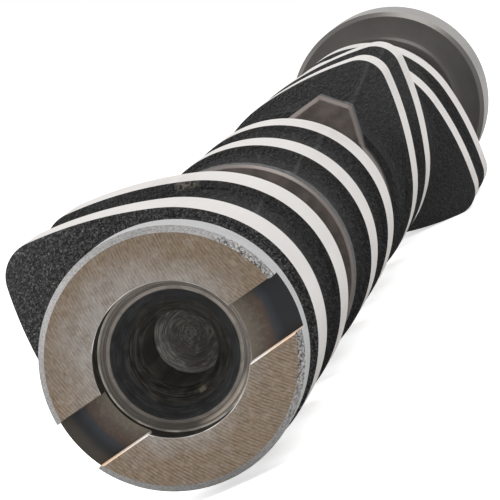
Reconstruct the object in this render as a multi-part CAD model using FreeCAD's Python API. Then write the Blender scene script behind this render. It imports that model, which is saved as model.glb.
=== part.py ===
import FreeCAD, Part
import math
import os

from FreeCAD import Vector

# Cast camshaft of a four-cylinder engine with two cams to each cylinder.
# The shaft's axis is the Y axis, and the end face with the timing slot lies at y = 0, facing -Y.
# Lengths are in millimetres. Angles are in degrees, seen from the slotted end, from +X towards +Z.

# Layout along the shaft
cylinder_pitch = 84.2
cam_spacing = 32.3           # from one cam of a cylinder to its twin
cam_width = 11.8
first_cam = 15.2             # front face of the first cam
firing_place = (0, 1, 3, 2)  # each cylinder's place in the firing order, in quarter turns of the shaft

# How the shaft lies when it is put down: a turn about its own axis
lying_turn = -24.6
first_nose = 156.5           # direction of the first cylinder's cam noses before that turn

# Cam outline: base circle, opening ramp, flank and nose, each arc tangent to the next
base_radius = 15.2
cam_lift = 7.15
nose_radius = 4.2
flank_radius = 50.0
ramp_radius = 18.4
ramp_end = 90.0              # off the nose

# Rough cast core between the machined places
core_radius = 12.8
core_fillet = 1.6

# Machined land at the slotted end
land_radius = 14.95
land_length = 7.0
land_chamfer = 0.74

# Bearing journals, one behind each pair of cams, and the faced cheeks behind them
journal_radius = 12.0
journal_space = 19.1         # from the cam to the cheek's face
relief_width = 1.2
relief_depth = 0.5
cheek_radius = 13.4
cheek_thickness = 3.5
cheek_chamfer = 0.4
thrust_radius = 14.5         # the first cheek is wider and takes the thrust

# Sensing lug on the second cheek
lug_cheek = 1
lug_direction = 72.0         # before the lying turn
lug_reach = 17.1
lug_top_width = 5.0
lug_foot = 6.0               # how near the axis its flanks start, inside the cheek
lug_flank_angle = 35.5       # between a flank and the lug's own direction
lug_chamfer = 0.6

# Drive end
drive_journal_start = 353.5
drive_journal_radius = 18.3
drive_journal_length = 20.0
drive_journal_chamfer = 0.8
spigot_radius = 12.5
spigot_length = 12.0
spigot_chamfer = 1.0
bolt_hole_radius = 5.1
bolt_hole_depth = 30.0
bolt_hole_chamfer = 1.0

# Recess, turning centre and drilled hole in the slotted end
recess_radius = 8.8
recess_depth = 4.3
centre_mouth_radius = 7.4
centre_angle = 60.0
pilot_radius = 4.3
pilot_depth = 20.5
drill_point_angle = 118.0

# Timing slot across the slotted end
slot_direction = 35.3        # before the lying turn
slot_width = 6.55
slot_depth = 3.0
slot_offset = 2.14           # from the shaft's axis to the slot's centre line
slot_clearance = 2.0         # how far the cutter runs past the face and the rim

SHAFT_AXIS = Vector(0, 1, 0)


def around(angle, radius, y=0.0):
    """Point at an angle and a radius round the shaft's axis."""
    turn = math.radians(angle)
    return Vector(radius * math.cos(turn), y, radius * math.sin(turn))


def arc(centre, radius, start, end):
    """Arc in the plane across the shaft, between two directions from its centre."""
    points = [centre + around(angle, radius) for angle in (start, (start + end) / 2, end)]
    return Part.Arc(*points).toShape()


class HalfSection:
    """Outline of a turned form: radius along X, station along Y, both ends on the axis."""

    def __init__(self, station):
        self.start = Vector(0, station, 0)
        self.point = self.start
        self.edges = []

    def line(self, radius, station):
        target = Vector(radius, station, 0)
        if target.distanceToPoint(self.point) > 1e-6:
            self.edges.append(Part.makeLine(self.point, target))
            self.point = target

    def hollow(self, radius, station, corner_radius, corner_station):
        """Concave quarter round whose two tangents meet at the corner."""
        target = Vector(radius, station, 0)
        corner = Vector(corner_radius, corner_station, 0)
        centre = self.point + target - corner
        middle = centre + (corner - centre) * (1 / math.sqrt(2))
        self.edges.append(Part.Arc(self.point, middle, target).toShape())
        self.point = target

    def turned(self):
        self.line(0, self.point.y)
        self.line(0, self.start.y)
        return Part.Face(Part.Wire(self.edges)).revolve(Vector(0, 0, 0), SHAFT_AXIS, 360)


def cast_core(section, start, end):
    """Core from one shoulder to the next, with a cast fillet at both."""
    foot_radius = core_radius + core_fillet
    section.line(foot_radius, start)
    section.hollow(core_radius, start + core_fillet, core_radius, start)
    section.line(core_radius, end - core_fillet)
    section.hollow(foot_radius, end, core_radius, end)


def bearing(section, start, rim_radius, thickness):
    """Journal with a relief at each end, then a cheek with a machined face."""
    relief_radius = journal_radius - relief_depth
    cheek = start + journal_space
    section.line(relief_radius, start)
    section.line(relief_radius, start + relief_width)
    section.line(journal_radius, start + relief_width)
    section.line(journal_radius, cheek - relief_width)
    section.line(relief_radius, cheek - relief_width)
    section.line(relief_radius, cheek)
    section.line(rim_radius - cheek_chamfer, cheek)
    section.line(rim_radius, cheek + cheek_chamfer)
    section.line(rim_radius, cheek + thickness)
    return cheek


def cam_fronts(cylinder):
    """Stations of the front faces of one cylinder's two cams."""
    front = first_cam + cylinder * cylinder_pitch
    return front, front + cam_spacing


def shaft_body():
    """The turned and cast body from the slotted end to the drive end, without its cams."""
    section = HalfSection(0.0)
    section.line(land_radius - land_chamfer, 0.0)
    section.line(land_radius, land_chamfer)
    section.line(land_radius, land_length)
    shoulder = land_length
    for cylinder in range(len(firing_place)):
        for front in cam_fronts(cylinder):
            cast_core(section, shoulder, front)
            shoulder = front + cam_width
            section.line(section.point.x, shoulder)
        rim_radius = thrust_radius if cylinder == 0 else cheek_radius
        cheek = bearing(section, shoulder, rim_radius, cheek_thickness)
        shoulder = cheek + cheek_thickness
    cast_core(section, shoulder, drive_journal_start)
    drive_end = drive_journal_start + drive_journal_length
    section.line(drive_journal_radius - drive_journal_chamfer, drive_journal_start)
    section.line(drive_journal_radius, drive_journal_start + drive_journal_chamfer)
    section.line(drive_journal_radius, drive_end - drive_journal_chamfer)
    section.line(drive_journal_radius - drive_journal_chamfer, drive_end)
    section.line(spigot_radius, drive_end)
    section.line(spigot_radius, drive_end + spigot_length - spigot_chamfer)
    section.line(spigot_radius - spigot_chamfer, drive_end + spigot_length)
    return section.turned()


def cam_outline(nose):
    """Closed outline of one cam across the shaft, with its nose in the given direction."""
    nose_distance = base_radius + cam_lift - nose_radius
    ramp_offset = ramp_radius - base_radius
    # Work in the nose's own frame: the ramp's centre lies behind the shaft's axis, opposite the ramp's end.
    ramp_x = -ramp_offset * math.cos(math.radians(ramp_end))
    ramp_y = -ramp_offset * math.sin(math.radians(ramp_end))
    to_nose = math.hypot(nose_distance - ramp_x, -ramp_y)
    lean = math.degrees(math.atan2(-ramp_y, nose_distance - ramp_x))
    ramp_to_flank = flank_radius - ramp_radius
    nose_to_flank = flank_radius - nose_radius
    spread = (nose_to_flank ** 2 - to_nose ** 2 - ramp_to_flank ** 2) / (2 * to_nose * ramp_to_flank)
    flank_end = lean + math.degrees(math.acos(spread))
    flank_x = ramp_x - ramp_to_flank * math.cos(math.radians(flank_end))
    flank_y = ramp_y - ramp_to_flank * math.sin(math.radians(flank_end))
    nose_end = math.degrees(math.atan2(-flank_y, nose_distance - flank_x))
    edges = []
    for side in (1, -1):
        def centre(x, y):
            return around(nose, x) + around(nose + side * 90, y)
        edges.append(arc(centre(flank_x, flank_y), flank_radius, nose + side * nose_end, nose + side * flank_end))
        edges.append(arc(centre(ramp_x, ramp_y), ramp_radius, nose + side * flank_end, nose + side * ramp_end))
    edges.append(arc(around(nose, nose_distance), nose_radius, nose - nose_end, nose + nose_end))
    edges.append(arc(Vector(0, 0, 0), base_radius, nose + ramp_end, nose + 360 - ramp_end))
    return Part.Wire(Part.__sortEdges__(edges))


def cam(front, nose):
    blank = Part.Face(cam_outline(nose))
    blank.translate(SHAFT_AXIS * front)
    return blank.extrude(SHAFT_AXIS * cam_width)


def cams():
    """Two cams for each cylinder, turned a quarter turn for each place in the firing order."""
    made = []
    for cylinder, place in enumerate(firing_place):
        nose = first_nose + 90 * place
        made.extend(cam(front, nose) for front in cam_fronts(cylinder))
    return made


def lug_outline(inset, station):
    """Outline of the sensing lug across the shaft, drawn in from its full size by the inset."""
    flank = math.radians(lug_flank_angle)
    reach = lug_reach - inset
    top_half = lug_top_width / 2 - inset * (1 - math.sin(flank)) / math.cos(flank)
    foot_half = top_half + (reach - lug_foot) * math.tan(flank)
    corners = [(lug_foot, foot_half), (reach, top_half), (reach, -top_half), (lug_foot, -foot_half)]
    points = [
        around(lug_direction, out, station) + around(lug_direction + 90, across)
        for out, across in corners
    ]
    return Part.makePolygon(points + points[:1])


def sensing_lug():
    """Tooth on the cheek's rim, with the cheek's faced side and a chamfer round it."""
    face_station = cam_fronts(lug_cheek)[1] + cam_width + journal_space
    full = lug_outline(0.0, face_station + lug_chamfer)
    chamfered = Part.makeLoft([lug_outline(lug_chamfer, face_station), full], True, True)
    plain = Part.Face(full).extrude(SHAFT_AXIS * (cheek_thickness - lug_chamfer))
    return chamfered.fuse(plain)


def centre_bore():
    """Recess, turning centre and drilled hole at the slotted end, as one cutter."""
    centre_end = recess_depth + (centre_mouth_radius - pilot_radius) / math.tan(math.radians(centre_angle / 2))
    point_length = pilot_radius / math.tan(math.radians(drill_point_angle / 2))
    section = HalfSection(-slot_clearance)
    section.line(recess_radius, -slot_clearance)
    section.line(recess_radius, recess_depth)
    section.line(centre_mouth_radius, recess_depth)
    section.line(pilot_radius, centre_end)
    section.line(pilot_radius, pilot_depth)
    section.line(0.0, pilot_depth + point_length)
    return section.turned()


def timing_slot():
    """Flat cutter across the whole slotted end, a little to one side of the axis."""
    length = 2 * (land_radius + slot_clearance)
    cutter = Part.makeBox(length, slot_depth + slot_clearance, slot_width)
    cutter.translate(Vector(-length / 2, -slot_clearance, -slot_width / 2 - slot_offset))
    cutter.rotate(Vector(0, 0, 0), SHAFT_AXIS, -slot_direction)
    return cutter


def bolt_hole():
    """Blind hole for the drive wheel's bolt, with its drill point and a chamfered mouth."""
    mouth = drive_journal_start + drive_journal_length + spigot_length
    point_length = bolt_hole_radius / math.tan(math.radians(drill_point_angle / 2))
    section = HalfSection(mouth - bolt_hole_depth - point_length)
    section.line(bolt_hole_radius, mouth - bolt_hole_depth)
    section.line(bolt_hole_radius, mouth - bolt_hole_chamfer)
    section.line(bolt_hole_radius + bolt_hole_chamfer, mouth)
    section.line(bolt_hole_radius + bolt_hole_chamfer, mouth + bolt_hole_chamfer)
    return section.turned()


def camshaft():
    solid = shaft_body().fuse(cams() + [sensing_lug()])
    for cutter in (centre_bore(), timing_slot(), bolt_hole()):
        solid = solid.cut(cutter)
    solid = solid.removeSplitter()
    # A turn from +X towards +Z is a negative one about +Y.
    solid.rotate(Vector(0, 0, 0), SHAFT_AXIS, -lying_turn)
    return solid.Solids[0] if len(solid.Solids) == 1 else solid


def main():
    os.makedirs("parts", exist_ok=True)
    shaft = camshaft()
    print("camshaft", len(shaft.Solids), "solid, valid", shaft.isValid())
    print("volume", round(shaft.Volume), "mm3, box", shaft.BoundBox)
    shaft.exportStep("parts/camshaft.step")


main()
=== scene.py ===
import math

import bmesh
import bpy
from mathutils import Matrix, Vector, noise


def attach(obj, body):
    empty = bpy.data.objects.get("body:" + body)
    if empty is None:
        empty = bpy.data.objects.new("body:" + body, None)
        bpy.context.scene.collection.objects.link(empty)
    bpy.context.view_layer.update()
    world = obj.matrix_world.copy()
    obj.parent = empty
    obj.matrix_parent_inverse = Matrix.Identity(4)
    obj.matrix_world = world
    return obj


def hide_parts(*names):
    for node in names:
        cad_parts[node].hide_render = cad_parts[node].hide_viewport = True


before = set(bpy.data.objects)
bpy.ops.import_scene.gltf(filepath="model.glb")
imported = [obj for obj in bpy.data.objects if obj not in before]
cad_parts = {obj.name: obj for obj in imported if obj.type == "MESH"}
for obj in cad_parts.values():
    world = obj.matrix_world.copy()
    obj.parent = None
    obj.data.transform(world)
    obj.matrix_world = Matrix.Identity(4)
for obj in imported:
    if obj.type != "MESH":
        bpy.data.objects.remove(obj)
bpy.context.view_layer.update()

# A camshaft as one detailed mesh, with a finish for each kind of surface.
# Lengths are in millimetres until the mesh is made. Angles are in degrees, seen from the slotted end,
# from +X towards +Z. Stations run along +Y from the slotted end face. Colours are linear.
MM = 0.001

# Fineness of the mesh
COLUMNS = 288                # points in each ring round the shaft
CORE_STEP = 2.2              # about the distance between two rings of the cast core
FILLET_STEPS = 3             # rings in a fillet of the core
SIDE_STEPS = 6               # rings across a cam's side
POINT_STEPS = 6              # rings down the drill point
PILOT_STEPS = 3              # rings along the drilled hole
CENTRE_STEPS = 4             # rings along the turning centre
RECESS_STEPS = 2             # rings along the recess
END_FACE_STEPS = 5           # rings across the end face
LAND_STEPS = 3               # rings along the land
SHARP_ANGLE = 28.0           # edges that bend more than this stay sharp

# Layout
CYLINDERS = 4
CYLINDER_PITCH = 84.2
CAM_SPACING = 32.3
CAM_WIDTH = 11.8
FIRST_CAM = 15.2
FIRST_NOSE = 131.9
FIRING_STEP = 90.0
FIRING_PLACE = (0, 1, 3, 2)  # each cylinder's place in the firing order
PARTING = 41.9               # direction of the casting's parting line, and of its other side half a turn on

# Cam outline
BASE_RADIUS = 15.2
CAM_LIFT = 7.15
NOSE_RADIUS = 4.2
FLANK_RADIUS = 50.0
RAMP_RADIUS = 18.4
RAMP_END = 90.0
NOSE_CROWDING = 0.55         # how far the ring's points crowd towards the nose
EDGE_BREAK = 0.05            # broken edge between a cam's ground track and its cast sides

# Core, land, journals and cheeks
CORE_RADIUS = 12.8
CORE_FILLET = 1.6
LAND_RADIUS = 14.95
LAND_LENGTH = 7.0
LAND_CHAMFER = 0.74
JOURNAL_RADIUS = 12.0
JOURNAL_SPACE = 19.1
RELIEF_WIDTH = 1.2
RELIEF_DEPTH = 0.5
CHEEK_RADIUS = 13.4
THRUST_RADIUS = 14.5
CHEEK_THICKNESS = 3.5
CHEEK_CHAMFER = 0.4

# Sensing lug on the second cheek
LUG_CHEEK = 1
LUG_DIRECTION = 47.4
LUG_REACH = 17.1
LUG_TOP_WIDTH = 5.0
LUG_FLANK_ANGLE = 35.5
LUG_SPAN = 60.0              # the lug lies within this angle of its direction
LUG_CHAMFER = 0.6

# Drive end
DRIVE_START = 353.5
DRIVE_RADIUS = 18.3
DRIVE_LENGTH = 20.0
DRIVE_CHAMFER = 0.8
SPIGOT_RADIUS = 12.5
SPIGOT_LENGTH = 12.0
SPIGOT_CHAMFER = 1.0
BOLT_HOLE_RADIUS = 5.1
BOLT_HOLE_DEPTH = 30.0
BOLT_HOLE_CHAMFER = 1.0
THREAD_PITCH = 1.75

# Recess, turning centre and drilled hole
RECESS_RADIUS = 8.8
RECESS_DEPTH = 4.3
RECESS_EDGE_BREAK = 0.08
CENTRE_MOUTH_RADIUS = 7.4
CENTRE_ANGLE = 60.0
PILOT_RADIUS = 4.3
PILOT_DEPTH = 20.5
DRILL_POINT_ANGLE = 118.0
DRILL_TIP_RADIUS = 0.03      # flat left at the very tip of a drill point

# Timing slot
SLOT_DIRECTION = 10.7
SLOT_WIDTH = 6.55
SLOT_DEPTH = 3.0
SLOT_OFFSET = 2.14
SLOT_EDGE_BREAK = 0.12
CUTTER_RISE = 0.5            # how far the prism that cuts the slot stands out of the end face
CUTTER_OVERHANG = 3.0        # how far it stands out of the land at each end

# Relief of the cast skin, as real shape
CAST_GRAIN = 0.75            # width of one bump
CAST_RELIEF = 0.05
CAST_SWELL = 7.0             # width of the slow unevenness
CAST_SWELL_RELIEF = 0.08
PARTING_WIDTH = 1.1
PARTING_RELIEF = 0.16

# Marks of the tools and of wear
ARC_CENTRE = (30.2, 0.0, 13.8)      # of the facing tool's arcs on the end face
ARC_FEED = 0.362                    # between two arcs
NEAR_SKIN = (45.0, 20.0)            # stations over which the cast skin takes its near look
FAR_SKIN = (90.0, 250.0)            # stations over which it takes its far look
BARE_PATCH = (3.0, 0.0, 15.1)       # place on the second cam's side
CENTRE_MARKS = (                    # place, size and colour, in the turning centre
    ((-3.16, 20.2, -0.36), 0.4, (0.62, 0.24, 0.09)),
    ((2.14, 20.3, -3.45), 0.4, (0.62, 0.24, 0.09)),
    ((0.6, 8.0, -4.9), 0.8, (0.75, 0.66, 0.50)),
)

# Floor, room and lamps. Places and sizes are in metres, lamps in watts.
FLOOR_HALF = 6.0
FLOOR_COLOUR = (0.85, 0.85, 0.85)
FLOOR_GLOW = 0.62            # seen by the camera alone
WHITE = (1.0, 1.0, 1.0)
ROOM_LIGHT = 0.55            # on the shaft
ROOM_SEEN = 1.0              # by the camera and in reflections
LAMP_SIZE = 0.9
LAMP_AIM = (0.0, 0.15, 0.0)
LAMPS = (
    ("lamp_left", (-0.9, -0.3, 0.8), 10.5),
    ("lamp_right", (0.8, 0.2, 1.0), 8.3),
)

# Camera, close to the slotted end, a little above it and to its right
LENS = 319.8
SENSOR_WIDTH = 36.0
CAMERA_PLACE = (79.55, -485.2, 36.89)
CAMERA_RIGHT = (0.9048, 0.0987, -0.4142)
CAMERA_UP = (0.4038, 0.1102, 0.9082)
NEAREST_SEEN = 0.01
FARTHEST_SEEN = 100.0

# Kinds of surface, in the order of the mesh's material slots
(
    CAST, GROUND, END_FACE, RIM, SLOT, EDGE_HIGHLIGHT, RECESS_WALL, CENTRE, FACED, JOURNAL, DRIVE_RIM,
    DRIVE_FACE, BORED,
) = range(13)


def wrapped(angle):
    """The angle as one from -180 to 180."""
    return (angle + 180.0) % 360.0 - 180.0


def level_angles():
    """Directions at even steps round the shaft."""
    return [360.0 * column / COLUMNS for column in range(COLUMNS)]


def cam_arcs():
    """The cam's arcs from the nose down: centre, radius and the angle from the nose where each one ends."""
    lean = math.radians(RAMP_END)
    ramp_offset = RAMP_RADIUS - BASE_RADIUS
    ramp = Vector((-ramp_offset * math.cos(lean), -ramp_offset * math.sin(lean)))
    nose = Vector((BASE_RADIUS + CAM_LIFT - NOSE_RADIUS, 0.0))
    to_nose = nose - ramp
    ramp_to_flank = FLANK_RADIUS - RAMP_RADIUS
    nose_to_flank = FLANK_RADIUS - NOSE_RADIUS
    # The flank's centre stands at these two distances from the other two centres.
    opposite = nose_to_flank ** 2 - to_nose.length_squared - ramp_to_flank ** 2
    spread = math.acos(opposite / (2 * to_nose.length * ramp_to_flank))
    turn = math.atan2(to_nose.y, to_nose.x) + spread
    outward = Vector((math.cos(turn), math.sin(turn)))
    flank = ramp - outward * ramp_to_flank
    nose_meets_flank = nose + (nose - flank).normalized() * NOSE_RADIUS
    flank_meets_ramp = ramp + outward * RAMP_RADIUS
    return (
        (nose, NOSE_RADIUS, math.degrees(math.atan2(nose_meets_flank.y, nose_meets_flank.x))),
        (flank, FLANK_RADIUS, math.degrees(math.atan2(flank_meets_ramp.y, flank_meets_ramp.x))),
        (ramp, RAMP_RADIUS, RAMP_END),
        (Vector((0.0, 0.0)), BASE_RADIUS, 360.0),
    )


def cam_radius(away, arcs):
    """Distance from the shaft's axis to the cam's outline, at an angle from the nose."""
    away = abs(wrapped(away))
    centre, radius = next((centre, radius) for centre, radius, end in arcs if away < end)
    ray = Vector((math.cos(math.radians(away)), math.sin(math.radians(away))))
    along = ray.dot(centre)
    return along + math.sqrt(along ** 2 - centre.length_squared + radius ** 2)


def lug_radius(angle, inset):
    """Outline of the second cheek with its lug, drawn in by the inset."""
    away = abs(math.radians(wrapped(angle - LUG_DIRECTION)))
    rim = CHEEK_RADIUS - inset
    if away > math.radians(LUG_SPAN):
        return rim
    flank = math.radians(LUG_FLANK_ANGLE)
    reach = LUG_REACH - inset
    top_half = LUG_TOP_WIDTH / 2 - inset * (1 - math.sin(flank)) / math.cos(flank)
    top = reach / math.cos(away)
    side = (top_half + reach * math.tan(flank)) / (math.sin(away) + math.cos(away) * math.tan(flank))
    return max(rim, min(top, side))


def lug_angles():
    """Level angles, with the nearest ones moved onto the lug's corners."""
    angles = level_angles()
    top = math.degrees(math.atan2(LUG_TOP_WIDTH / 2, LUG_REACH))
    step = 0.02
    foot = top
    while lug_radius(LUG_DIRECTION + foot, 0.0) > CHEEK_RADIUS:
        foot += step
    for away in (-foot, -top, top, foot):
        corner = LUG_DIRECTION + away
        angles[round(corner / 360.0 * COLUMNS) % COLUMNS] = corner
    return angles


class Skin:
    """Rings of points round the shaft, each joined to the one before it by faces of one kind."""

    def __init__(self):
        self.rings = []
        self.kinds = []

    def ring(self, kind, angles, radii, station):
        """Adds a ring whose points have their own directions and radii."""
        points = []
        for angle, radius in zip(angles, radii):
            turn = math.radians(angle)
            points.append(Vector((radius * math.cos(turn), station, radius * math.sin(turn))))
        self.rings.append(points)
        self.kinds.append(kind)

    def round(self, kind, radius, station):
        """Adds a circle."""
        self.ring(kind, level_angles(), [radius] * COLUMNS, station)

    def between(self, kind, steps):
        """Puts rings at even steps between the last two, with faces of the kind."""
        last = self.rings.pop()
        self.kinds.pop()
        first = self.rings[-1]
        for step in range(1, steps + 1):
            share = step / steps
            self.rings.append([start.lerp(end, share) for start, end in zip(first, last)])
            self.kinds.append(kind)

    def mesh(self, name):
        """The rings as one closed mesh, with the kinds as material slots."""
        points = [point * MM for ring in self.rings for point in ring]
        faces = []
        kinds = []
        for row in range(1, len(self.rings)):
            here = row * COLUMNS
            before = here - COLUMNS
            for column in range(COLUMNS):
                following = (column + 1) % COLUMNS
                faces.append((before + column, here + column, here + following, before + following))
                kinds.append(self.kinds[row])
        # Both ends close on the axis.
        for row, is_first in ((0, True), (len(self.rings) - 1, False)):
            centre = sum(self.rings[row], Vector()) / COLUMNS
            points.append(Vector((0.0, centre.y, 0.0)) * MM)
            for column in range(COLUMNS):
                pair = (row * COLUMNS + column, row * COLUMNS + (column + 1) % COLUMNS)
                faces.append((len(points) - 1,) + (pair if is_first else pair[::-1]))
                kinds.append(self.kinds[1 if is_first else -1])
        mesh = bpy.data.meshes.new(name)
        mesh.from_pydata(points, [], faces)
        mesh.polygons.foreach_set("material_index", kinds)
        mesh.update()
        return mesh


def core(skin, start, end, kind=CAST):
    """Core between two shoulders, with its fillets."""
    foot = CORE_RADIUS + CORE_FILLET
    leans = [math.radians(90.0 * step / FILLET_STEPS) for step in range(1, FILLET_STEPS + 1)]
    skin.round(kind, foot, start)
    for lean in leans:
        skin.round(kind, foot - CORE_FILLET * math.sin(lean), start + CORE_FILLET * (1 - math.cos(lean)))
    skin.round(kind, CORE_RADIUS, end - CORE_FILLET)
    skin.between(kind, round((end - start) / CORE_STEP))
    for lean in leans:
        skin.round(kind, foot - CORE_FILLET * math.cos(lean), end - CORE_FILLET * (1 - math.sin(lean)))


def cam(skin, front, nose, arcs):
    """One cam: cast sides and a ground track."""
    crowding = math.degrees(NOSE_CROWDING)
    crowded = [angle - crowding * math.sin(math.radians(angle - nose)) for angle in level_angles()]
    outline = [cam_radius(angle - nose, arcs) for angle in crowded]
    broken = [radius - EDGE_BREAK for radius in outline]
    skin.ring(CAST, crowded, broken, front)
    skin.between(CAST, SIDE_STEPS)
    skin.ring(CAST, crowded, outline, front + EDGE_BREAK)
    skin.ring(GROUND, crowded, outline, front + CAM_WIDTH - EDGE_BREAK)
    skin.ring(CAST, crowded, broken, front + CAM_WIDTH)


def cam_back(skin, station, radius):
    """Cast side behind a cam, down to the radius that follows."""
    skin.round(CAST, radius, station)
    skin.between(CAST, SIDE_STEPS)


def lug_cheek(skin, face):
    """Second cheek, with the sensing lug."""
    angles = lug_angles()
    full = [lug_radius(angle, 0.0) for angle in angles]
    chamfered = []
    for angle, radius in zip(angles, full):
        on_lug = radius > CHEEK_RADIUS + CHEEK_CHAMFER
        chamfered.append(lug_radius(angle, LUG_CHAMFER if on_lug else CHEEK_CHAMFER))
    skin.ring(FACED, angles, chamfered, face)
    skin.ring(FACED, angles, full, face + CHEEK_CHAMFER)
    skin.ring(CAST, angles, full, face + CHEEK_THICKNESS)


def bearing(skin, start, cylinder):
    """Journal with its two reliefs, then the cheek with its machined face."""
    relief = JOURNAL_RADIUS - RELIEF_DEPTH
    face = start + JOURNAL_SPACE
    back = face + CHEEK_THICKNESS
    cam_back(skin, start, relief)
    skin.round(JOURNAL, relief, start + RELIEF_WIDTH)
    skin.round(JOURNAL, JOURNAL_RADIUS, start + RELIEF_WIDTH)
    skin.round(JOURNAL, JOURNAL_RADIUS, face - RELIEF_WIDTH)
    skin.round(JOURNAL, relief, face - RELIEF_WIDTH)
    skin.round(JOURNAL, relief, face)
    if cylinder == LUG_CHEEK:
        lug_cheek(skin, face)
        return back
    rim = THRUST_RADIUS if cylinder == 0 else CHEEK_RADIUS
    skin.round(FACED, rim - CHEEK_CHAMFER, face)
    skin.round(FACED, rim, face + CHEEK_CHAMFER)
    skin.round(DRIVE_FACE if cylinder == CYLINDERS - 1 else CAST, rim, back)
    if rim > CORE_RADIUS + CORE_FILLET:
        skin.round(CAST, CORE_RADIUS + CORE_FILLET, back)
    return back


def drill_tip(radius, depth):
    """How far a drilled hole goes at the tip of its point."""
    point = radius / math.tan(math.radians(DRILL_POINT_ANGLE / 2))
    return depth + point * (1 - DRILL_TIP_RADIUS / radius)


def slotted_end(skin):
    """Drilled hole, turning centre, recess, end face and land, from the drill's tip outwards."""
    cone_length = (CENTRE_MOUTH_RADIUS - PILOT_RADIUS) / math.tan(math.radians(CENTRE_ANGLE / 2))
    skin.round(CENTRE, DRILL_TIP_RADIUS, drill_tip(PILOT_RADIUS, PILOT_DEPTH))
    skin.round(CENTRE, PILOT_RADIUS, PILOT_DEPTH)
    skin.between(CENTRE, POINT_STEPS)
    skin.round(CENTRE, PILOT_RADIUS, RECESS_DEPTH + cone_length)
    skin.between(CENTRE, PILOT_STEPS)
    skin.round(CENTRE, CENTRE_MOUTH_RADIUS, RECESS_DEPTH)
    skin.between(CENTRE, CENTRE_STEPS)
    skin.round(CENTRE, RECESS_RADIUS, RECESS_DEPTH)
    skin.round(RECESS_WALL, RECESS_RADIUS, RECESS_EDGE_BREAK)
    skin.between(RECESS_WALL, RECESS_STEPS)
    # Broken edge of the recess: bare metal with a painted highlight
    skin.round(EDGE_HIGHLIGHT, RECESS_RADIUS + RECESS_EDGE_BREAK, 0.0)
    skin.round(END_FACE, LAND_RADIUS - LAND_CHAMFER, 0.0)
    skin.between(END_FACE, END_FACE_STEPS)
    skin.round(RIM, LAND_RADIUS, LAND_CHAMFER)
    skin.round(RIM, LAND_RADIUS, LAND_LENGTH)
    skin.between(RIM, LAND_STEPS)
    skin.round(CAST, CORE_RADIUS + CORE_FILLET, LAND_LENGTH)


def drive_end(skin):
    """Drive journal, spigot and bolt hole, to the drill's tip."""
    drive_back = DRIVE_START + DRIVE_LENGTH
    end = drive_back + SPIGOT_LENGTH
    skin.round(DRIVE_FACE, DRIVE_RADIUS - DRIVE_CHAMFER, DRIVE_START)
    skin.round(DRIVE_RIM, DRIVE_RADIUS, DRIVE_START + DRIVE_CHAMFER)
    skin.round(DRIVE_RIM, DRIVE_RADIUS, drive_back - DRIVE_CHAMFER)
    skin.round(DRIVE_RIM, DRIVE_RADIUS - DRIVE_CHAMFER, drive_back)
    skin.round(DRIVE_FACE, SPIGOT_RADIUS, drive_back)
    skin.round(JOURNAL, SPIGOT_RADIUS, end - SPIGOT_CHAMFER)
    skin.round(JOURNAL, SPIGOT_RADIUS - SPIGOT_CHAMFER, end)
    skin.round(DRIVE_FACE, BOLT_HOLE_RADIUS + BOLT_HOLE_CHAMFER, end)
    skin.round(BORED, BOLT_HOLE_RADIUS, end - BOLT_HOLE_CHAMFER)
    skin.round(BORED, BOLT_HOLE_RADIUS, end - BOLT_HOLE_DEPTH)
    skin.round(BORED, DRILL_TIP_RADIUS, end - drill_tip(BOLT_HOLE_RADIUS, BOLT_HOLE_DEPTH))


def shaft_skin():
    """The whole shaft, from the slotted end to the drive end."""
    skin = Skin()
    arcs = cam_arcs()
    slotted_end(skin)
    shoulder = LAND_LENGTH
    for cylinder in range(CYLINDERS):
        nose = FIRST_NOSE + FIRING_STEP * FIRING_PLACE[cylinder]
        front = FIRST_CAM + cylinder * CYLINDER_PITCH
        core(skin, shoulder, front)
        cam(skin, front, nose, arcs)
        cam_back(skin, front + CAM_WIDTH, CORE_RADIUS + CORE_FILLET)
        core(skin, front + CAM_WIDTH, front + CAM_SPACING)
        cam(skin, front + CAM_SPACING, nose, arcs)
        shoulder = bearing(skin, front + CAM_SPACING + CAM_WIDTH, cylinder)
    core(skin, shoulder, DRIVE_START, DRIVE_FACE)
    drive_end(skin)
    return skin


def parting_ridge(place):
    """Height of the parting line's ridge at a place on the cast skin."""
    direction = math.degrees(math.atan2(place.z, place.x))
    radius = math.hypot(place.x, place.z)
    ridge = 0.0
    for side in (PARTING, PARTING + 180.0):
        away = math.radians(wrapped(direction - side))
        if abs(away) < math.pi / 2:
            across = abs(radius * math.sin(away)) / (PARTING_WIDTH / 2)
            ridge = max(ridge, PARTING_RELIEF * max(0.0, 1.0 - across ** 2))
    return ridge


def roughen(mesh):
    """Moves the points of the cast skin in and out: grain, slow swells and the parting line."""
    only_cast = [True] * len(mesh.vertices)
    for face in mesh.polygons:
        if face.material_index != CAST:
            for vertex in face.vertices:
                only_cast[vertex] = False
    normals = [vertex.normal.copy() for vertex in mesh.vertices]
    for vertex, is_cast, outward in zip(mesh.vertices, only_cast, normals):
        if is_cast:
            place = vertex.co / MM
            swell = noise.noise(place / CAST_SWELL) * CAST_SWELL_RELIEF
            grain = noise.noise(place / CAST_GRAIN) * CAST_RELIEF
            vertex.co = (place + outward * (swell + grain + parting_ridge(place))) * MM
    mesh.update()


def slot_axes():
    """Directions along and across the slot, in the end face."""
    turn = math.radians(SLOT_DIRECTION)
    along = Vector((math.cos(turn), 0.0, math.sin(turn)))
    across = Vector((-math.sin(turn), 0.0, math.cos(turn)))
    return along, across


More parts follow.
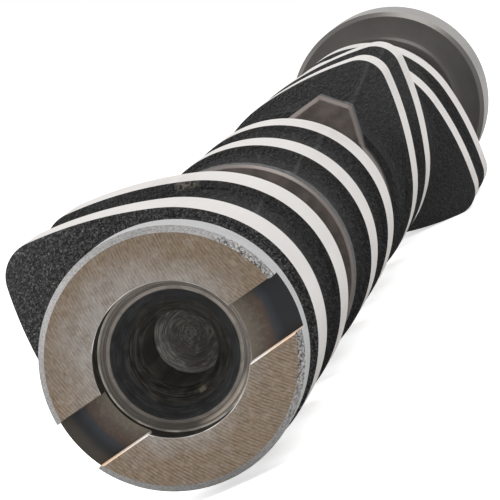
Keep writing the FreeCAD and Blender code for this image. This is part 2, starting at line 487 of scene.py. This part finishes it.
def slot_cutter():
    """Prism across the slotted end, with its edges broken where they meet the end face."""
    along, across = slot_axes()
    half = SLOT_WIDTH / 2
    mouth = half + SLOT_EDGE_BREAK
    outline = [
        (mouth + CUTTER_RISE, -CUTTER_RISE), (half, SLOT_EDGE_BREAK), (half, SLOT_DEPTH),
        (-half, SLOT_DEPTH), (-half, SLOT_EDGE_BREAK), (-mouth - CUTTER_RISE, -CUTTER_RISE),
    ]
    reach = LAND_RADIUS + CUTTER_OVERHANG
    work = bmesh.new()
    ends = []
    for side in (-reach, reach):
        end = []
        for out, station in outline:
            corner = along * side + across * (out - SLOT_OFFSET) + Vector((0.0, station, 0.0))
            end.append(work.verts.new(corner * MM))
        ends.append(end)
    left, right = ends
    work.faces.new(left)
    work.faces.new(right[::-1])
    for corner in range(len(outline)):
        following = (corner + 1) % len(outline)
        work.faces.new((left[corner], right[corner], right[following], left[following]))
    bmesh.ops.recalc_face_normals(work, faces=work.faces)
    mesh = bpy.data.meshes.new("slot_cutter")
    work.to_mesh(mesh)
    work.free()
    return bpy.data.objects.new("slot_cutter", mesh)


def cut_slot(piece):
    """Cuts the timing slot and gives its faces their own finish, with a painted highlight on the wall that
    faces up and painted shade on the wall that faces down.
    """
    cutter = slot_cutter()
    bpy.context.scene.collection.objects.link(cutter)
    step = piece.modifiers.new("slot", "BOOLEAN")
    step.operation = "DIFFERENCE"
    step.solver = "MANIFOLD"
    step.object = cutter
    graph = bpy.context.evaluated_depsgraph_get()
    mesh = bpy.data.meshes.new_from_object(piece.evaluated_get(graph))
    piece.modifiers.clear()
    # The cutter brings an empty material slot with it.
    mesh.materials.pop(index=len(mesh.materials) - 1)
    piece.data = mesh
    bpy.data.objects.remove(cutter)
    across = slot_axes()[1]
    slack = 0.01
    level = 0.99
    steep = 0.5
    for face in mesh.polygons:
        centre = face.center / MM
        lean = face.normal.dot(across)
        out = abs(centre.dot(across) + SLOT_OFFSET)
        in_slot = slack < centre.y < SLOT_DEPTH + slack and out < SLOT_WIDTH / 2 + SLOT_EDGE_BREAK
        on_floor = in_slot and abs(face.normal.y) > level and abs(centre.y - SLOT_DEPTH) < slack
        on_wall = in_slot and abs(lean) > steep and abs(out - SLOT_WIDTH / 2) < SLOT_EDGE_BREAK
        # Both walls are the same milled metal: the one that faces up takes a painted highlight, the one
        # that faces down the floor's dark finish as painted shade.
        if on_wall and lean > 0.0:
            face.material_index = EDGE_HIGHLIGHT
        elif on_floor or on_wall:
            face.material_index = SLOT


class Finish:
    """A material, and short ways to add nodes to it. Positions are in millimetres."""

    def __init__(self, name):
        self.material = bpy.data.materials.new(name)
        self.material.use_nodes = True
        self.nodes = self.material.node_tree.nodes
        self.links = self.material.node_tree.links
        self.shader = next(node for node in self.nodes if node.type == "BSDF_PRINCIPLED")
        texture = self.nodes.new("ShaderNodeTexCoord")
        scaled = self.nodes.new("ShaderNodeVectorMath")
        scaled.operation = "SCALE"
        scaled.inputs["Scale"].default_value = 1.0 / MM
        self.links.new(texture.outputs["Object"], scaled.inputs[0])
        self.place = scaled.outputs["Vector"]
        parts = self.nodes.new("ShaderNodeSeparateXYZ")
        self.links.new(self.place, parts.inputs[0])
        self.x, self.y, self.z = parts.outputs

    def put(self, socket, value):
        """Links a node's result to the socket, or sets the socket to a plain value."""
        if isinstance(value, bpy.types.NodeSocket):
            self.links.new(value, socket)
        else:
            socket.default_value = value

    def distance(self, first, second):
        node = self.nodes.new("ShaderNodeVectorMath")
        node.operation = "DISTANCE"
        self.put(node.inputs[0], first)
        self.put(node.inputs[1], second)
        return node.outputs["Value"]

    def combine(self, x, y, z):
        node = self.nodes.new("ShaderNodeCombineXYZ")
        for socket, value in zip(node.inputs, (x, y, z)):
            self.put(socket, value)
        return node.outputs[0]

    def calculate(self, operation, *values):
        node = self.nodes.new("ShaderNodeMath")
        node.operation = operation
        for socket, value in zip(node.inputs, values):
            self.put(socket, value)
        return node.outputs[0]

    def plus(self, first, second):
        return self.calculate("ADD", first, second)

    def minus(self, first, second):
        return self.calculate("SUBTRACT", first, second)

    def times(self, first, second):
        return self.calculate("MULTIPLY", first, second)

    def over(self, first, second):
        return self.calculate("DIVIDE", first, second)

    def noise(self, size, detail=2.0, roughness=0.5, at=None):
        """Noise whose features are about the given size."""
        node = self.nodes.new("ShaderNodeTexNoise")
        self.put(node.inputs["Vector"], self.place if at is None else at)
        node.inputs["Scale"].default_value = 1.0 / size
        node.inputs["Detail"].default_value = detail
        node.inputs["Roughness"].default_value = roughness
        return node.outputs["Fac"]

    def uneven(self, value, amount, size, detail=2.0, roughness=0.5):
        """The value with noise of some amount and size added, so that what it borders is ragged."""
        return self.calculate("MULTIPLY_ADD", self.noise(size, detail, roughness), amount, value)

    def remap(self, value, start, end, low=0.0, high=1.0):
        """Goes smoothly from low to high while the value goes from start to end."""
        node = self.nodes.new("ShaderNodeMapRange")
        node.interpolation_type = "SMOOTHSTEP"
        self.put(node.inputs["Value"], value)
        node.inputs["From Min"].default_value = start
        node.inputs["From Max"].default_value = end
        node.inputs["To Min"].default_value = low
        node.inputs["To Max"].default_value = high
        return node.outputs[0]

    def mix(self, share, first, second):
        """The first colour, with a share of the second."""
        node = self.nodes.new("ShaderNodeMix")
        node.data_type = "RGBA"
        self.put(node.inputs["Factor"], share)
        for name, colour in (("A", first), ("B", second)):
            socket = next(entry for entry in node.inputs if entry.name == name and entry.type == "RGBA")
            self.put(socket, colour if isinstance(colour, bpy.types.NodeSocket) else (*colour, 1.0))
        return next(result for result in node.outputs if result.type == "RGBA")

    def bump(self, height, depth, after=None):
        """Bump whose full height is the given depth."""
        node = self.nodes.new("ShaderNodeBump")
        node.inputs["Distance"].default_value = depth * MM
        self.put(node.inputs["Height"], height)
        if after is not None:
            self.links.new(after, node.inputs["Normal"])
        return node.outputs[0]

    def radius(self):
        """Distance from the shaft's axis."""
        square = self.plus(self.times(self.x, self.x), self.times(self.z, self.z))
        return self.calculate("SQRT", square)

    def ground_lines(self, round_rate, along_rate):
        """Fine lines round the shaft, as a grinding wheel leaves them."""
        turn = self.calculate("ARCTAN2", self.z, self.x)
        unrolled = self.combine(self.times(turn, round_rate), self.times(self.y, along_rate), 0.0)
        return self.noise(1.0, detail=3.0, roughness=0.6, at=unrolled)

    def turned_lines(self, out_rate):
        """Fine rings on a face, as a lathe leaves them."""
        out = self.times(self.radius(), out_rate)
        return self.noise(1.0, roughness=0.6, at=self.combine(out, 0.0, 0.0))

    def swirled(self, out, round_rate, out_rate):
        """Place by direction and distance from the axis, for marks that run round it on a face."""
        least = 0.1
        safe = self.calculate("MAXIMUM", out, least)
        along_x = self.times(self.over(self.x, safe), round_rate)
        along_z = self.times(self.over(self.z, safe), round_rate)
        return self.combine(along_x, self.times(out, out_rate), along_z)

    def finish(self, colour, metallic, roughness, normal=None, specular=0.5):
        self.links.new(colour, self.shader.inputs["Base Color"])
        self.shader.inputs["Roughness"].default_value = roughness
        self.shader.inputs["Metallic"].default_value = metallic
        self.shader.inputs["Specular IOR Level"].default_value = specular
        if normal is not None:
            self.links.new(normal, self.shader.inputs["Normal"])
        return self.material


def cast_finish():
    """Dark cast skin: leathery grain with painted glints, calmer at the far end, flash and a bare patch."""
    iron = Finish("cast_skin")
    hollow = (0.009, 0.009, 0.0095)
    far_hollow = (0.027, 0.027, 0.0275)
    peak = (0.038, 0.0375, 0.037)
    near_peak = (0.086, 0.085, 0.084)
    far_peak = (0.047, 0.0465, 0.046)
    dull = (0.030, 0.0295, 0.029)
    painted_glint = (0.36, 0.36, 0.36)
    flash_grey = (0.085, 0.083, 0.080)
    bare_metal = (0.24, 0.215, 0.18)
    # Grain
    coarse = iron.noise(0.46, detail=3.0, roughness=0.65)
    fine = iron.noise(0.21, roughness=0.6)
    grain = iron.calculate("MULTIPLY_ADD", fine, 0.5, iron.times(coarse, 0.5))
    near = iron.remap(iron.y, *NEAR_SKIN)
    far = iron.remap(iron.y, *FAR_SKIN)
    peaks = iron.mix(near, iron.mix(far, peak, far_peak), near_peak)
    hollows = iron.mix(far, hollow, far_hollow)
    colour = iron.mix(iron.remap(grain, 0.445, 0.585), hollows, peaks)
    patches = iron.noise(9.0, detail=3.0)
    colour = iron.mix(iron.remap(patches, 0.35, 0.7, high=0.25), colour, dull)
    # Painted glints on the highest grains, most of them near the slotted end
    specks_and_glints = iron.times(iron.remap(fine, 0.62, 0.72), iron.remap(coarse, 0.45, 0.6, low=0.3))
    seen = iron.calculate("MULTIPLY_ADD", near, 0.8, 0.2)
    colour = iron.mix(iron.times(specks_and_glints, seen), colour, painted_glint)
    # Flash along the parting line
    turn = math.radians(PARTING)
    across = iron.minus(iron.times(iron.x, math.sin(turn)), iron.times(iron.z, math.cos(turn)))
    ragged = iron.uneven(iron.calculate("ABSOLUTE", across), amount=0.9, size=0.8)
    colour = iron.mix(iron.remap(ragged, 0.95, 0.45, high=0.5), colour, flash_grey)
    # Bare patch at the edge of the second cam's side
    away = iron.distance(iron.combine(iron.x, 0.0, iron.z), BARE_PATCH)
    out = iron.uneven(iron.radius(), amount=0.8, size=0.7)
    at_edge = iron.remap(out, BASE_RADIUS - 0.15, BASE_RADIUS + 0.2)
    along = iron.calculate("ABSOLUTE", iron.minus(iron.y, FIRST_CAM + CAM_SPACING))
    bare = iron.times(iron.times(iron.remap(away, 1.8, 0.7), at_edge), iron.remap(along, 0.6, 0.3))
    colour = iron.mix(iron.times(bare, iron.remap(coarse, 0.35, 0.55, high=0.75)), colour, bare_metal)
    normal = iron.bump(fine, 0.12, iron.bump(coarse, 0.40))
    return iron.finish(colour, metallic=0.0, roughness=0.5, normal=normal, specular=0.3)


def ground_finish():
    """Ground cam track: bright satin iron with grinding lines round it."""
    iron = Finish("ground_track")
    groove = (0.625, 0.598, 0.574)
    crest = (0.685, 0.659, 0.636)
    dull = (0.585, 0.559, 0.537)
    lines = iron.ground_lines(2.0, 7.0)
    cloud = iron.noise(6.0)
    colour = iron.mix(lines, groove, crest)
    colour = iron.mix(iron.remap(cloud, 0.3, 0.8, high=0.35), colour, dull)
    return iron.finish(colour, metallic=1.0, roughness=0.42, normal=iron.bump(lines, 0.01))


def end_face_finish():
    """Faced end: brown with old oil, greyer near the recess, with the facing tool's fine arcs."""
    iron = Finish("end_face")
    grey = (0.250, 0.228, 0.207)
    brown = (0.140, 0.096, 0.060)
    stain = (0.130, 0.098, 0.071)
    rubbed_and_highlight = (0.34, 0.315, 0.29)
    bright_grey = (0.460, 0.430, 0.398)
    bright_brown = (0.385, 0.310, 0.240)
    pit = (0.085, 0.065, 0.050)
    out = iron.radius()
    # The tool's arcs, worn away in places, and fibres along them
    away = iron.distance(iron.place, ARC_CENTRE)
    waver = iron.times(iron.noise(6.0, detail=1.0), 0.1)
    arcs = iron.calculate("SINE", iron.times(iron.plus(away, waver), 2 * math.pi / ARC_FEED))
    worn = iron.remap(iron.noise(0.45, roughness=0.6), 0.32, 0.62, low=0.25)
    lines = iron.times(iron.remap(arcs, -1.0, 1.0), worn)
    fibre_place = iron.combine(iron.times(away, 6.0), iron.times(iron.z, 1.1), 0.0)
    fibre = iron.noise(1.0, detail=3.0, roughness=0.65, at=fibre_place)
    # Brown towards the rim, with stains and rubbed spots
    lean = iron.times(iron.minus(iron.x, iron.z), 0.11)
    border = iron.uneven(iron.plus(out, lean), amount=6.0, size=4.0, detail=3.0, roughness=0.55)
    outer = iron.remap(border, 10.3, 15.8)
    colour = iron.mix(outer, grey, brown)
    stains = iron.noise(2.4, detail=4.0, roughness=0.6)
    colour = iron.mix(iron.remap(stains, 0.42, 0.64, high=0.62), colour, stain)
    spots = iron.noise(1.3, detail=3.0, roughness=0.6)
    colour = iron.mix(iron.remap(spots, 0.52, 0.70, high=0.30), colour, rubbed_and_highlight)
    # Fibres and arcs, the arcs clearest towards the bottom, and pits
    bright = iron.mix(outer, bright_grey, bright_brown)
    colour = iron.mix(iron.remap(fibre, 0.35, 0.68, high=0.36), colour, bright)
    lower = iron.uneven(iron.minus(out, iron.z), amount=4.0, size=3.0)
    clear = iron.remap(lower, 9.0, 19.0, low=0.20, high=0.36)
    colour = iron.mix(iron.times(iron.remap(lines, 0.1, 0.9), clear), colour, bright)
    colour = iron.mix(iron.remap(iron.noise(0.42, detail=1.0), 0.70, 0.76, high=0.45), colour, pit)
    normal = iron.bump(iron.plus(lines, fibre), 0.012)
    return iron.finish(colour, metallic=0.55, roughness=0.44, normal=normal)


def rim_finish():
    """Land: plain pale grey round its side, darker and pitted on its chamfer."""
    iron = Finish("land_rim")
    side_dark = (0.375, 0.375, 0.378)
    side_light = (0.445, 0.445, 0.448)
    side_dull = (0.34, 0.34, 0.343)
    chamfer_dark = (0.175, 0.171, 0.167)
    chamfer_light = (0.315, 0.311, 0.306)
    fleck = (0.60, 0.575, 0.53)
    pit = (0.040, 0.034, 0.030)
    specks_and_glints = iron.noise(0.24, detail=3.0, roughness=0.7)
    cloud = iron.noise(2.2, detail=3.0)
    side = iron.mix(iron.remap(specks_and_glints, 0.35, 0.65), side_dark, side_light)
    side = iron.mix(iron.remap(cloud, 0.4, 0.7, high=0.4), side, side_dull)
    chamfer = iron.mix(iron.remap(specks_and_glints, 0.30, 0.66), chamfer_dark, chamfer_light)
    # Bright flecks and dark pits on the right, the pits densest next to the end face
    on_right = iron.remap(iron.uneven(iron.x, amount=8.0, size=2.5), 11.5, 16.5)
    craters = iron.noise(0.33, roughness=0.65)
    flecks = iron.times(iron.remap(craters, 0.44, 0.38), on_right)
    chamfer = iron.mix(iron.times(flecks, 0.65), chamfer, fleck)
    pits = iron.times(iron.remap(craters, 0.51, 0.58), on_right)
    near_face = iron.remap(iron.y, LAND_CHAMFER - 0.14, LAND_CHAMFER - 0.54)
    density = iron.calculate("MULTIPLY_ADD", near_face, 0.45, 0.55)
    chamfer = iron.mix(iron.times(pits, density), chamfer, pit)
    colour = iron.mix(iron.remap(iron.y, LAND_CHAMFER - 0.03, LAND_CHAMFER + 0.05), chamfer, side)
    return iron.finish(colour, metallic=0.35, roughness=0.55, normal=iron.bump(specks_and_glints, 0.03))


def slot_finish():
    """Floor of the milled slot, also on its upper wall as painted shade: olive brown inside, with the heat
    colours of tempering towards the rim.
    """
    iron = Finish("timing_slot")
    olive = (0.128, 0.107, 0.082)
    brown = (0.072, 0.059, 0.046)
    ember_red = (0.075, 0.038, 0.022)
    steel_blue = (0.025, 0.030, 0.037)
    blue_black = (0.014, 0.015, 0.017)
    left_brown = (0.042, 0.035, 0.027)
    stain_grey = (0.17, 0.15, 0.125)
    away = iron.uneven(iron.minus(iron.radius(), 0.5), amount=1.0, size=3.0)
    grain = iron.noise(0.45, detail=3.0, roughness=0.65)
    ember = iron.times(iron.remap(away, 10.0, 11.1), iron.remap(away, 12.1, 11.2))
    left_end = iron.times(iron.remap(away, 13.0, 14.2), iron.remap(iron.x, 0.0, -5.0))
    stain = iron.times(iron.remap(grain, 0.42, 0.72, high=0.45), iron.remap(away, 12.2, 9.5))
    colour = iron.mix(iron.remap(away, 8.6, 10.8), olive, brown)
    colour = iron.mix(iron.remap(away, 10.7, 11.9), colour, steel_blue)
    colour = iron.mix(iron.times(ember, 0.45), colour, ember_red)
    colour = iron.mix(iron.remap(away, 11.8, 12.9), colour, blue_black)
    colour = iron.mix(left_end, colour, left_brown)
    colour = iron.mix(stain, colour, stain_grey)
    return iron.finish(colour, metallic=0.5, roughness=0.34, normal=iron.bump(grain, 0.015))


def edge_highlight_finish():
    """Lower wall of the slot and edge of the recess: bare metal with a painted highlight, warm at the rim,
    the highlight left off on the right of the recess and in places.
    """
    iron = Finish("edge_highlight")
    bright = (0.97, 0.94, 0.90)
    warm = (0.88, 0.64, 0.46)
    dull = (0.22, 0.20, 0.18)
    out = iron.radius()
    colour = iron.mix(iron.remap(iron.uneven(out, amount=3.0, size=1.2), 10.5, 14.5), bright, warm)
    # On the recess's edge the painted highlight stays on the left and is broken in places.
    on_recess = iron.remap(out, RECESS_RADIUS + 0.15, RECESS_RADIUS + 0.1)
    in_places = iron.remap(iron.noise(3.0), 0.35, 0.6, low=0.15, high=0.85)
    on_right = iron.remap(iron.x, 3.5, 7.0, high=0.9)
    dulled = iron.times(on_recess, iron.calculate("MAXIMUM", in_places, on_right))
    colour = iron.mix(dulled, colour, dull)
    return iron.finish(colour, metallic=0.1, roughness=0.5)


def recess_wall_finish():
    """Wall of the recess: near black as painted shade, with a little mottling."""
    iron = Finish("recess_wall")
    black = (0.020, 0.018, 0.015)
    brown_black = (0.045, 0.040, 0.033)
    mottling = iron.noise(1.2)
    colour = iron.mix(iron.remap(mottling, 0.4, 0.7), black, brown_black)
    return iron.finish(colour, metallic=0.0, roughness=0.7, normal=iron.bump(mottling, 0.02), specular=0.15)


def shelf_colour(iron, out, turned, dirt):
    """The shelf: turned and dirty, with a painted highlight on an arc at the lower right, a painted
    highlight along its outer edge away from the lower left, and painted shade towards the lower left.
    """
    groove = (0.095, 0.082, 0.070)
    crest = (0.34, 0.300, 0.265)
    dirty = (0.13, 0.12, 0.105)
    painted_shade = (0.055, 0.050, 0.044)
    arc_highlight = (0.80, 0.69, 0.57)
    rim_highlight = (0.75, 0.70, 0.62)
    colour = iron.mix(iron.remap(turned, 0.38, 0.62), groove, crest)
    colour = iron.mix(iron.remap(dirt, 0.45, 0.65, high=0.5), colour, dirty)
    # From -1 at the upper right to 1 at the lower left
    low = iron.over(iron.plus(iron.x, iron.z), iron.times(out, -math.sqrt(2.0)))
    # Painted shade towards the lower left.
    colour = iron.mix(iron.remap(low, 0.5, 0.95, high=0.6), colour, painted_shade)
    # 1 in the middle of the arc of painted highlight
    facing = iron.over(iron.minus(iron.times(iron.x, 0.42), iron.times(iron.z, 0.91)), out)
    inner_side = iron.remap(out, CENTRE_MOUTH_RADIUS + 0.45, CENTRE_MOUTH_RADIUS + 0.7)
    band = iron.times(inner_side, iron.remap(out, RECESS_RADIUS - 0.3, RECESS_RADIUS - 0.5))
    rubbed_and_highlight = iron.times(iron.remap(facing, 0.84, 0.99), iron.remap(turned, 0.30, 0.60, low=0.3, high=0.85))
    colour = iron.mix(iron.times(rubbed_and_highlight, band), colour, arc_highlight)
    # Painted highlight along the shelf's outer edge, left off towards the lower left.
    uneven_edge = iron.remap(iron.noise(2.0), 0.35, 0.6, low=0.3, high=0.9)
    edge = iron.remap(out, RECESS_RADIUS - 0.25, RECESS_RADIUS - 0.18)
    edge_glint = iron.times(edge, iron.times(iron.remap(low, -0.75, 0.2), uneven_edge))
    return iron.mix(edge_glint, colour, rim_highlight)


def centre_finish():
    """Turning centre, drilled hole and the shelf round them: dark with old oil, with the tool's marks,
    painted light on the drill's disc and painted light and shade on the shelf.
    """
    iron = Finish("turning_centre")
    oily_dark = (0.070, 0.073, 0.077)
    oily_light = (0.150, 0.153, 0.157)
    brown_dark = (0.058, 0.054, 0.047)
    brown_light = (0.285, 0.270, 0.235)
    dirty = (0.060, 0.058, 0.056)
    disc_dark = (0.30, 0.288, 0.262)
    disc_light = (1.0, 0.98, 0.91)
    disc_dirty = (0.34, 0.305, 0.31)
    out = iron.radius()
    ring_place = iron.combine(iron.times(out, 5.5), iron.times(iron.y, 3.0), 0.0)
    rings = iron.noise(1.0, detail=4.0, roughness=0.7, at=ring_place)
    swirl = iron.noise(1.0, detail=4.0, roughness=0.65, at=iron.swirled(out, 2.4, 6.0))
    dirt = iron.noise(1.6, detail=3.0, roughness=0.6)
    marks = iron.calculate("MULTIPLY_ADD", rings, 0.8, iron.times(swirl, 1.2))
    # Oily near the mouth, brown deeper down
    oily = iron.mix(iron.remap(marks, 0.75, 1.25), oily_dark, oily_light)
    brown = iron.mix(iron.remap(marks, 0.80, 1.20), brown_dark, brown_light)
    depth = iron.uneven(iron.y, amount=1.5, size=2.0)
    colour = iron.mix(iron.remap(depth, RECESS_DEPTH + 2.7, RECESS_DEPTH + 3.9), oily, brown)
    colour = iron.mix(iron.remap(dirt, 0.42, 0.66, high=0.6), colour, dirty)
    # Disc left by the drill at the bottom: bright drilled metal, made lighter still as painted light
    # against the shade deep in the hole
    disc = iron.mix(iron.remap(marks, 0.78, 1.24), disc_dark, disc_light)
    disc = iron.mix(iron.remap(dirt, 0.42, 0.62, high=0.7), disc, disc_dirty)
    colour = iron.mix(iron.remap(iron.y, PILOT_DEPTH - 0.4, PILOT_DEPTH - 0.05), colour, disc)
    for spot, size, tone in CENTRE_MARKS:
        ragged = iron.uneven(iron.distance(iron.place, spot), amount=1.2 * size, size=0.5)
        colour = iron.mix(iron.remap(ragged, 1.5 * size, 1.1 * size, high=0.8), colour, tone)
    turned_place = iron.combine(iron.times(out, 8.0), iron.times(swirl, 1.2), 0.0)
    turned = iron.noise(1.0, detail=3.0, roughness=0.65, at=turned_place)
    past_mouth = iron.remap(out, CENTRE_MOUTH_RADIUS - 0.1, CENTRE_MOUTH_RADIUS + 0.1)
    on_shelf = iron.times(past_mouth, iron.remap(iron.y, RECESS_DEPTH + 0.2, RECESS_DEPTH + 0.1))
    colour = iron.mix(on_shelf, colour, shelf_colour(iron, out, turned, dirt))
    normal = iron.bump(iron.plus(rings, turned), 0.03)
    return iron.finish(colour, metallic=0.6, roughness=0.36, normal=normal)


def faced_finish():
    """Machined faces of the cheeks and the lug: brown, with turning lines and a painted highlight on the
    chamfered edge.
    """
    iron = Finish("cheek_face")
    dark = (0.056, 0.045, 0.041)
    light = (0.125, 0.102, 0.092)
    crest = (0.17, 0.15, 0.135)
    rim_highlight = (0.175, 0.150, 0.139)
    lines = iron.turned_lines(6.0)
    cloud = iron.noise(2.2, detail=3.0)
    colour = iron.mix(iron.remap(cloud, 0.3, 0.7), dark, light)
    colour = iron.mix(iron.remap(lines, 0.3, 0.7, high=0.35), colour, crest)
    # Each cheek's face stands one pitch behind the one before, so the remainder tells face from edge.
    first_face = FIRST_CAM + CAM_SPACING + CAM_WIDTH + JOURNAL_SPACE
    ahead = 1.0
    behind = iron.calculate("MODULO", iron.minus(iron.y, first_face - ahead), CYLINDER_PITCH)
    # The chamfered edge is lighter, as a painted highlight.
    colour = iron.mix(iron.remap(behind, ahead + 0.03, ahead + 0.12), colour, rim_highlight)
    return iron.finish(colour, metallic=0.5, roughness=0.42, normal=iron.bump(lines, 0.015))


def journal_finish():
    """Ground journals and the spigot."""
    iron = Finish("journal")
    groove = (0.50, 0.485, 0.46)
    crest = (0.62, 0.605, 0.58)
    lines = iron.ground_lines(2.0, 7.0)
    colour = iron.mix(lines, groove, crest)
    return iron.finish(colour, metallic=1.0, roughness=0.3, normal=iron.bump(lines, 0.008))


def drive_rim_finish():
    """Wide journal next to the drive wheel: warm grey, ground, with duller chamfers."""
    iron = Finish("drive_journal")
    groove = (0.165, 0.154, 0.143)
    crest = (0.23, 0.216, 0.202)
    dull = (0.125, 0.118, 0.110)
    lines = iron.ground_lines(3.0, 6.0)
    colour = iron.mix(lines, groove, crest)
    from_middle = iron.calculate("ABSOLUTE", iron.minus(iron.y, DRIVE_START + DRIVE_LENGTH / 2))
    half = DRIVE_LENGTH / 2 - DRIVE_CHAMFER
    colour = iron.mix(iron.remap(from_middle, half - 0.05, half + 0.05), colour, dull)
    return iron.finish(colour, metallic=0.9, roughness=0.38, normal=iron.bump(lines, 0.01))


def drive_face_finish():
    """Faces of the drive journal: dark warm grey, turned."""
    iron = Finish("drive_face")
    dark = (0.054, 0.050, 0.046)
    light = (0.090, 0.084, 0.078)
    crest = (0.15, 0.14, 0.13)
    lines = iron.turned_lines(5.0)
    colour = iron.mix(iron.noise(5.0, detail=3.0), dark, light)
    colour = iron.mix(iron.remap(lines, 0.35, 0.7, high=0.3), colour, crest)
    return iron.finish(colour, metallic=0.4, roughness=0.45, normal=iron.bump(lines, 0.015))


def bored_finish():
    """Bolt hole: threads as rings, darker at their roots."""
    iron = Finish("bolt_hole")
    root = (0.06, 0.056, 0.05)
    crest = (0.22, 0.21, 0.2)
    thread = iron.calculate("SINE", iron.times(iron.y, 2 * math.pi / THREAD_PITCH))
    colour = iron.mix(iron.remap(thread, -1.0, 1.0), root, crest)
    return iron.finish(colour, metallic=0.7, roughness=0.4, normal=iron.bump(thread, 0.3))


def camshaft():
    """The camshaft, with its finishes in the order of the kinds of surface."""
    mesh = shaft_skin().mesh("camshaft_detailed")
    roughen(mesh)
    finishes = (
        cast_finish, ground_finish, end_face_finish, rim_finish, slot_finish, edge_highlight_finish,
        recess_wall_finish, centre_finish, faced_finish, journal_finish, drive_rim_finish,
        drive_face_finish, bored_finish,
    )
    for finish in finishes:
        mesh.materials.append(finish())
    piece = bpy.data.objects.new("camshaft_detailed", mesh)
    bpy.context.scene.collection.objects.link(piece)
    cut_slot(piece)
    piece.data.polygons.foreach_set("use_smooth", [True] * len(piece.data.polygons))
    piece.data.set_sharp_from_angle(angle=math.radians(SHARP_ANGLE))
    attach(piece, "root")
    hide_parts("camshaft")
    return piece


def floor_finish():
    """Matt and pale, and lit a little more for the camera alone."""
    material = bpy.data.materials.new("pale_floor")
    material.use_nodes = True
    nodes = material.node_tree.nodes
    links = material.node_tree.links
    shader = next(node for node in nodes if node.type == "BSDF_PRINCIPLED")
    shader.inputs["Base Color"].default_value = (*FLOOR_COLOUR, 1.0)
    shader.inputs["Roughness"].default_value = 1.0
    shader.inputs["Specular IOR Level"].default_value = 0.0
    path = nodes.new("ShaderNodeLightPath")
    glow = nodes.new("ShaderNodeEmission")
    glow.inputs["Strength"].default_value = FLOOR_GLOW
    both = nodes.new("ShaderNodeAddShader")
    seen = nodes.new("ShaderNodeMixShader")
    links.new(shader.outputs[0], both.inputs[0])
    links.new(glow.outputs[0], both.inputs[1])
    links.new(path.outputs["Is Camera Ray"], seen.inputs[0])
    links.new(shader.outputs[0], seen.inputs[1])
    links.new(both.outputs[0], seen.inputs[2])
    output = next(node for node in nodes if node.type == "OUTPUT_MATERIAL")
    links.new(seen.outputs[0], output.inputs["Surface"])
    return material


def floor(piece):
    """Pale floor that touches the drive journal and the lowest cams."""
    points = [vertex.co for vertex in piece.data.vertices]
    drive = min((point for point in points if point.y > DRIVE_START * MM), key=lambda point: point.z)
    before_drive = (DRIVE_START - CAM_WIDTH) * MM
    slope = max((drive.z - point.z) / (drive.y - point.y) for point in points if point.y < before_drive)
    corners = []
    for right, along in ((-1, -1), (1, -1), (1, 1), (-1, 1)):
        height = drive.z + slope * (along * FLOOR_HALF - drive.y)
        corners.append((right * FLOOR_HALF, along * FLOOR_HALF, height))
    mesh = bpy.data.meshes.new("floor")
    mesh.from_pydata(corners, [], [(0, 1, 2, 3)])
    mesh.materials.append(floor_finish())
    ground = bpy.data.objects.new("floor", mesh)
    bpy.context.scene.collection.objects.link(ground)


def room():
    """White room, brighter for the camera and for reflections than its light on the shaft."""
    world = bpy.data.worlds.new("room")
    bpy.context.scene.world = world
    world.use_nodes = True
    nodes = world.node_tree.nodes
    links = world.node_tree.links
    background = next(node for node in nodes if node.type == "BACKGROUND")
    background.inputs["Color"].default_value = (*WHITE, 1.0)
    path = nodes.new("ShaderNodeLightPath")
    seen = nodes.new("ShaderNodeMath")
    seen.operation = "MAXIMUM"
    links.new(path.outputs["Is Camera Ray"], seen.inputs[0])
    links.new(path.outputs["Is Glossy Ray"], seen.inputs[1])
    level = nodes.new("ShaderNodeMapRange")
    level.inputs["To Min"].default_value = ROOM_LIGHT
    level.inputs["To Max"].default_value = ROOM_SEEN
    links.new(seen.outputs[0], level.inputs["Value"])
    links.new(level.outputs[0], background.inputs["Strength"])


def lamps():
    """Large soft lamps over the shaft."""
    for name, place, power in LAMPS:
        light = bpy.data.lights.new(name, "AREA")
        light.shape = "DISK"
        light.size = LAMP_SIZE
        light.energy = power
        lamp = bpy.data.objects.new(name, light)
        bpy.context.scene.collection.objects.link(lamp)
        lamp.location = place
        aim = Vector(LAMP_AIM) - Vector(place)
        lamp.rotation_euler = aim.to_track_quat("-Z", "Y").to_euler()


def camera():
    """Camera, turned by its directions to the right and up."""
    data = bpy.data.cameras.new("camera")
    data.lens = LENS
    data.sensor_width = SENSOR_WIDTH
    data.clip_start = NEAREST_SEEN
    data.clip_end = FARTHEST_SEEN
    view = bpy.data.objects.new("camera", data)
    bpy.context.scene.collection.objects.link(view)
    right = Vector(CAMERA_RIGHT).normalized()
    up = Vector(CAMERA_UP)
    up = (up - right * up.dot(right)).normalized()
    axes = Matrix((right, up, right.cross(up))).transposed().to_4x4()
    view.matrix_world = Matrix.Translation(Vector(CAMERA_PLACE) * MM) @ axes
    bpy.context.scene.camera = view


shaft = camshaft()
floor(shaft)
room()
lamps()
camera()
bpy.context.scene.view_settings.view_transform = "Standard"
